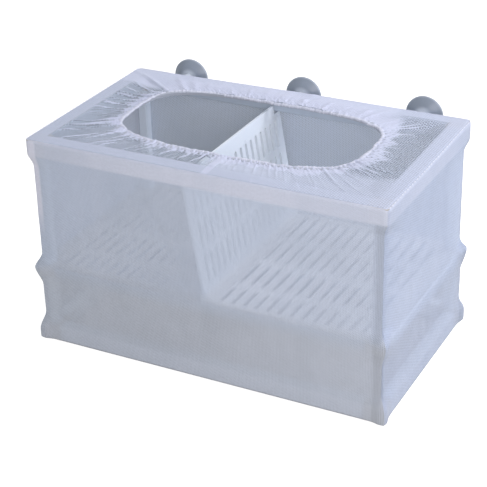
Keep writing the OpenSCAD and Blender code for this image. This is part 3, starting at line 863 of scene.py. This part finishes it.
def top_seam():
    """The overlocked seam between top panel and sides, with a swelling for each stitch along the ends."""
    inside = SEAM_SHARE * SEAM_IN
    half_l, half_d = HALF_L - inside, HALF_D - inside
    a = np.linspace(0, 2 * math.pi, SEAM_POINTS, endpoint=False)
    way = np.stack([np.cos(a), np.sin(a)], axis=-1)
    even, at, length = evenly(box_edge(np.zeros_like(way), way, half_l, half_d, CORNER_R), SEAM_POINTS)
    stitches = round(length / STITCH)
    bead = np.abs(np.sin(math.pi * at / (length / stitches)))
    from_middle = np.abs(even[:, 0])
    at_end = smooth_step(from_middle, half_l - 1.5 * MM, half_l - 0.3 * MM)
    near_end = smooth_step(from_middle, *(half_l - off for off in NEAR_END)) * (1 - at_end)
    end_thread = at_end * (THREAD_AT_END + THREAD_STITCH * bead ** 3)
    radius = (THREAD_HIDDEN + THREAD_NEAR_END * near_end + end_thread) * MM
    path = np.column_stack([even, BOX_TOP - inside + lift(even[:, 0], even[:, 1])])
    piece = tube("top_seam", path, radius, radius, SEAM_SIDES, 1.0, 0.55 + 0.45 * bead)
    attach(piece, BASKET)
    return piece


# ---------------------------------------------------------------- floor of the studio

FLOOR_HALF = 3.0
FLOOR_Z = -0.2 * MM
FLOOR_TONE = (0.58, 0.55, 0.50)
FLOOR_GLOW = 0.85        # brings the floor up to white where it is seen directly


def make_stage():
    mesh = bpy.data.meshes.new("studio_floor")
    corners = [(x * FLOOR_HALF, y * FLOOR_HALF, FLOOR_Z) for x, y in ((-1, -1), (1, -1), (1, 1), (-1, 1))]
    mesh.from_pydata(corners, [], [(0, 1, 2, 3)])
    floor = bpy.data.objects.new("studio_floor", mesh)
    bpy.context.scene.collection.objects.link(floor)
    tree = Tree("studio_white")
    tree.set(Base_Color=FLOOR_TONE, Roughness=0.9, Emission_Color=WHITE)
    tree.set(Emission_Strength=tree.math("MULTIPLY", seen_directly(tree), FLOOR_GLOW))
    floor.data.materials.append(tree.material)


# ---------------------------------------------------------------- the model

def dress(names, material, bevel=0.0, rim=None):
    """Gives CAD nodes their finish, and perhaps a small bevel, which rim finishes apart from the rest."""
    for name in names:
        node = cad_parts[name]
        node.data.materials.clear()
        node.data.materials.append(material)
        if bevel:
            soft = node.modifiers.new("edge", "BEVEL")
            soft.width = bevel
            soft.segments = 2
            soft.limit_method = "ANGLE"
            soft.angle_limit = math.radians(40)
            soft.harden_normals = False
            if rim:
                node.data.materials.append(rim)
                soft.material = 1


bpy.context.scene.view_settings.view_transform = "Standard"
make_camera()
make_world()
for light in LIGHTS:
    area_light(*light)
make_stage()

frame_white = plastic_material("frame_plastic", (0.78, 0.84, 0.93), 0.38)
# Painted shade: darker copies of the frame's white plastic, for the rails and posts that lie in shade
rails_painted_shade_grey = plastic_material("sleeved_rail_plastic", (0.47, 0.52, 0.59), 0.5)
back_rail_painted_shade_grey = plastic_material("back_rail_plastic_painted_shade", (0.50, 0.56, 0.64), 0.5)
shaded_grey = plastic_material("shaded_post_plastic", (0.46, 0.47, 0.51), 0.4)
connector_smoky = plastic_material("connector_plastic", (0.56, 0.54, 0.52), 0.38)
# The floor plates are one white plastic in lit and shaded copies: the right one paler as painted light, the
# left one darker as painted shade of the divider's shadow
left_plate_painted_shade = plastic_material("plate_plastic_left_painted_shade", (0.72, 0.69, 0.65), 0.32, alpha=0.66)
right_plate_painted_light = plastic_material("plate_plastic_right_painted_light", (0.99, 0.98, 1.0), 0.32, alpha=0.66)
# Painted highlight: the slots' bevelled rims, opaque and pale, as edges that catch the light
slot_rim_painted_highlight = plastic_material("slot_rim_plastic_painted_highlight", (0.97, 0.97, 1.0), 0.25)
divider_white = plastic_material("divider_plastic", (0.87, 0.92, 1.0), 0.32)
track_white = plastic_material("track_plastic", (0.95, 0.96, 0.98), 0.32)
cup_clear = cup_material("cup_vinyl", (0.33, 0.37, 0.43), (0.72, 0.76, 0.82))
elastic_white = plastic_material("elastic_cover", (0.46, 0.48, 0.54), 0.7)
thread_white = plastic_material("seam_thread", (0.88, 0.88, 0.95), 0.6)
gathered_white = net_material("net_mesh_gathered", NET_LIT_AND_SHADED_TONES["top_net"], **GATHERED_MESH)
hem_white = net_material("hem_mesh", NET_LIT_AND_SHADED_TONES["hem"], **HEM_MESH)

# A later line takes the place of an earlier one. The darker rails and posts are painted shade: the frame's
# one white plastic, darkened for the top rails, the front middle rail and the front-right posts, which lie in
# shade.
rails = [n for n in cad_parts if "_rail_" in n or "_post_" in n]
connectors = [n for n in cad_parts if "_corner_" in n]
cups = [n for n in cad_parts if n.startswith("suction_cup")]
dress(rails, frame_white)
dress([n for n in rails if n.startswith("top_rail")] + ["mid_rail_front"], rails_painted_shade_grey)
dress(["top_rail_back"], back_rail_painted_shade_grey)
dress(["upper_post_front_right", "lower_post_front_right"], shaded_grey)
dress(connectors, connector_smoky, bevel=1.8 * MM)
dress(["floor_plate_left"], left_plate_painted_shade, bevel=0.8 * MM, rim=slot_rim_painted_highlight)
dress(["floor_plate_right"], right_plate_painted_light, bevel=0.5 * MM, rim=slot_rim_painted_highlight)
dress(["divider"], divider_white)
dress(["divider_track"], track_white)
dress(["mouth_elastic"], elastic_white)
dress(cups, cup_clear)

for piece in [side_net(*row) for row in SIDE_NETS] + [bottom_net()]:
    mesh = BACK_MESH if piece.name == "back_net" else PANEL_MESH
    piece.data.materials.append(net_material(piece.name, NET_LIT_AND_SHADED_TONES[piece.name], **mesh))
top_net().data.materials.append(gathered_white)
hem().data.materials.append(hem_white)
top_seam().data.materials.append(thread_white)
